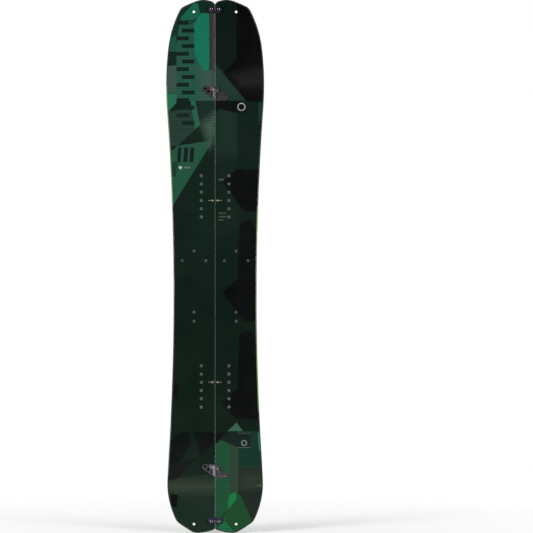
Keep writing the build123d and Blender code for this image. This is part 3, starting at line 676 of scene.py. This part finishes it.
for side, facet_shapes in TOP_PRINT_AND_HIGHLIGHT.items():
    top, tree, shader, place = start_material(f"printed topsheet {side}")
    axes = split_axes(tree, place)
    height, across = axes["Z"], axes["X"]
    ground = fade(tree, height, (300, (5, 30, 18)), (700, (4, 28, 19)), (1000, (10, 36, 26)))
    broad = noise(tree, stretched(tree, place, (22.0, 0.5, 0.5)), 1.0, 1.0)
    ground = mix_colours(tree, spread(tree, broad, 0.4, 0.65, 0.0, 0.5), ground, ink(17, 26, 20))
    colour = print_facets(tree, place, ground, facet_shapes)
    if side == "left":
        odd_row = sum_step(tree, "PINGPONG", repeat_count(tree, height, BAR_PITCH), 1.0)
        middle = sum_step(tree, "ADD", sum_step(tree, "MULTIPLY", odd_row, BAR_STAGGER), BARS_X)
        offset = sum_step(tree, "ABSOLUTE", sum_step(tree, "SUBTRACT", across, middle))
        outside = BAR_HALF_LENGTH + PRINT_SOFTNESS * MM
        in_length = spread(tree, offset, outside, BAR_HALF_LENGTH)
        in_row = spread(tree, repeating(tree, height, BAR_PITCH), 0.52, 0.5)
        bars = sum_step(tree, "MULTIPLY", in_length, in_row)
        bars = sum_step(tree, "MULTIPLY", bars, facet(tree, place, BAR_FIELD))
        colour = mix_colours(tree, bars, colour, ink(16, 36, 30))
    for shade, *ring in RINGS[side]:
        colour = mix_colours(tree, ring_mask(tree, axes, *ring), colour, ink(*shade))
    level_lines = spread(tree, waves(tree, height, LINE_PITCH), -0.4, 0.6, 0.0, 0.45)
    lined = mix_colours(tree, level_lines, colour, ink(20, 40, 34), "MULTIPLY")
    upright_lines = spread(tree, waves(tree, across, LINE_PITCH), 0.2, 1.0, 0.0, 0.07)
    lined = mix_colours(tree, upright_lines, lined, ink(60, 66, 60))
    smear = noise(tree, place, 9.0)
    feed(tree, shader.inputs["Base Color"], lined)
    feed(tree, shader.inputs["Roughness"], spread(tree, smear, 0.3, 0.7, 0.22, 0.36))
    shader.inputs["Specular IOR Level"].default_value = 0.3
    relief(tree, shader, noise(tree, place, 700.0), 0.01 * MM)
    dress(f"{side}_topsheet", top)

# ---- The threaded inserts ----
# Flanged steel nuts pressed into the core from below before the layers are glued, with their
# barrels turned flush with the topsheet. Six pairs lie under each foot, ten are for touring,
# and the rest hold the middle clips.

turned, tree, shader, place = start_material("turned steel insert")
coarse, fine = grain(tree, place, (1600.0, 300.0, 1600.0))
metal = mix_colours(tree, coarse, ink(198, 198, 196), ink(150, 150, 150))
feed(tree, shader.inputs["Base Color"], metal)
feed(tree, shader.inputs["Roughness"], spread(tree, fine, 0.3, 0.7, 0.3, 0.5))
shader.inputs["Metallic"].default_value = 1.0
relief(tree, shader, fine, 0.03 * MM)
for side in SIDES:
    for group in ("binding", "touring", "clip"):
        dress(f"{side}_{group}_inserts", turned)

# ---- The middle clips ----
# Two pairs of forged aluminium plates, black anodised and bead blasted, one plate of each pair
# screwed down on either side of the seam. A grey hook turns on the left plate and pulls on a
# steel post in the right one.

EDGE_BREAK = 0.12 * MM


def round_edges(piece):
    """Break a piece's sharp edges by a small round."""
    edge = piece.modifiers.new("broken edges", "BEVEL")
    edge.width = EDGE_BREAK
    edge.segments = 2
    edge.limit_method = "ANGLE"
    edge.angle_limit = CREASE
    edge.harden_normals = True


def anodised(name, light, dark, roughness):
    """Anodised aluminium: even, slightly grainy, with paler patches; these are rubbed wear, and on
    the tip clips' tongue and disc painted highlight.
    """
    material, tree, shader, place = start_material(name)
    rubbed_and_sheen = noise(tree, place, 160.0, 4.0)
    blasted = noise(tree, place, 2600.0, 2.0)
    share = spread(tree, rubbed_and_sheen, 0.42, 0.72)
    feed(tree, shader.inputs["Base Color"], mix_colours(tree, share, ink(*dark), ink(*light)))
    gloss = spread(tree, rubbed_and_sheen, 0.3, 0.7, roughness + 0.08, roughness - 0.06)
    feed(tree, shader.inputs["Roughness"], gloss)
    shader.inputs["Metallic"].default_value = 1.0
    relief(tree, shader, blasted, 0.03 * MM)
    return material


plate_finish = anodised("black anodised plate", (138, 134, 136), (84, 80, 84), 0.4)
hook_finish = anodised("grey anodised hook", (170, 166, 168), (118, 114, 118), 0.32)
handle_finish = anodised("clear anodised handle", (236, 236, 236), (208, 208, 210), 0.3)
nut_finish = anodised("black oxide nut", (46, 44, 48), (22, 22, 24), 0.4)
polished = bright_steel("polished steel fastener", (900.0, 900.0, 900.0), (226, 224, 220),
                        (190, 188, 186), roughness=(0.14, 0.3), depth=0.01 * MM)

CLIP_FINISH = {
    "hook_plate": plate_finish,
    "catch_plate": plate_finish,
    "hook": hook_finish,
    "handle": handle_finish,
    "hook_screws": nut_finish,
    "catch_screws": hook_finish,
    "catch_post": polished,
    "rivet": polished,
    "pivot_bolt": polished,
}
for clip in ("front", "rear"):
    for part, finish in CLIP_FINISH.items():
        piece = copy_of(f"{clip}_clip_{part}", f"{clip}_{part}")
        round_edges(piece)
        paint_over(piece, finish)

# ---- The tip clips ----
# A flat tongue of blue-black anodised aluminium turns on a bush at one side of the seam and
# slips under a dished disc at the other. Steel button-head bolts hold both to black nuts.

# On the tongue and the catch disc, the paler colour is painted highlight, laid on in the random
# patches of the anodised finish.
tongue_finish = anodised("blue black anodised tongue", (140, 132, 168), (76, 70, 104), 0.32)

TIP_FINISH = {
    "tongue": tongue_finish,
    "catch_disc": tongue_finish,
    "pivot_bush": polished,
    "pivot_bolt": polished,
    "catch_bolt": polished,
    "pivot_nut": nut_finish,
    "catch_nut": nut_finish,
}
for clip in ("nose", "tail"):
    for part, finish in TIP_FINISH.items():
        piece = copy_of(f"{clip}_clip_{part}", f"{clip}_tip_{part}")
        round_edges(piece)
        paint_over(piece, finish)

# ---- The floor, the light and the camera ----
# The board stands on a pale floor that fades out into a pale surround. Large soft lights stand
# well to the sides, in front and behind, so that the satin topsheet keeps its dark colours.

FLOOR_RADIUS = 1.5
FLOOR_SOLID_RADIUS = 0.25
FLOOR_GAP = 0.5 * MM
CAMERA_LENS = 200
SENSOR = 36
VIEW_HEIGHT = 1.641
VIEW_CENTRE = (0.1584, 0.8199)

shell = bmesh.new()
bmesh.ops.create_circle(shell, cap_ends=True, segments=96, radius=FLOOR_RADIUS)
floor_mesh = bpy.data.meshes.new("floor")
shell.to_mesh(floor_mesh)
shell.free()
floor = bpy.data.objects.new("floor", floor_mesh)
floor.location.z = cad_box[0].z - FLOOR_GAP
bpy.context.scene.collection.objects.link(floor)
pale, tree, shader, place = start_material("pale floor")
reach = tree.nodes.new("ShaderNodeVectorMath")
reach.operation = "LENGTH"
feed(tree, reach.inputs[0], place)
opaque = spread(tree, reach.outputs["Value"], FLOOR_RADIUS, FLOOR_SOLID_RADIUS)
feed(tree, shader.inputs["Alpha"], opaque)
shader.inputs["Base Color"].default_value = ink(252, 252, 252)
shader.inputs["Roughness"].default_value = 0.9
floor_mesh.materials.append(pale)

# The surround is bright to the camera, dim in reflections, and in between as soft light.
SEEN_SKY = 1.0
MIRRORED_SKY = 0.05
SOFT_SKY = 0.25

world = bpy.data.worlds.new("pale surround")
bpy.context.scene.world = world
world.use_nodes = True
tree = world.node_tree
sky = tree.nodes["Background"]
sky.inputs["Color"].default_value = (1, 1, 1, 1)
ray = tree.nodes.new("ShaderNodeLightPath").outputs
camera_share = SEEN_SKY - MIRRORED_SKY
soft_share = SOFT_SKY - MIRRORED_SKY
seen = sum_step(tree, "MULTIPLY_ADD", ray["Is Camera Ray"], camera_share, MIRRORED_SKY)
lit = sum_step(tree, "MULTIPLY_ADD", ray["Is Diffuse Ray"], soft_share, seen)
feed(tree, sky.inputs["Strength"], lit)

LIGHT_SIZE = 3.0
LIGHTS = [
    ("key", (-4.6, -4.4, 2.6), 290),
    ("fill", (4.8, -4.2, 2.0), 230),
    ("back left", (-4.6, 4.4, 2.4), 225),
    ("back right", (4.6, 4.4, 2.4), 225),
]
for name, spot, power in LIGHTS:
    data = bpy.data.lights.new(name, "AREA")
    data.shape = "DISK"
    data.size = LIGHT_SIZE
    data.energy = power
    light = bpy.data.objects.new(name, data)
    light.location = spot
    aim = bpy.data.objects.new(f"{name} aim", None)
    aim.location = (0, 0, VIEW_CENTRE[1])
    bpy.context.scene.collection.objects.link(light)
    bpy.context.scene.collection.objects.link(aim)
    track = light.constraints.new("TRACK_TO")
    track.target = aim

camera_data = bpy.data.cameras.new("camera")
camera_data.lens = CAMERA_LENS
camera_data.sensor_width = SENSOR
camera = bpy.data.objects.new("camera", camera_data)
distance = VIEW_HEIGHT * CAMERA_LENS / SENSOR
camera.location = (VIEW_CENTRE[0], -distance, VIEW_CENTRE[1])
camera.rotation_euler = (math.radians(90), 0, 0)
bpy.context.scene.collection.objects.link(camera)
bpy.context.scene.camera = camera
bpy.context.scene.view_settings.view_transform = "Standard"
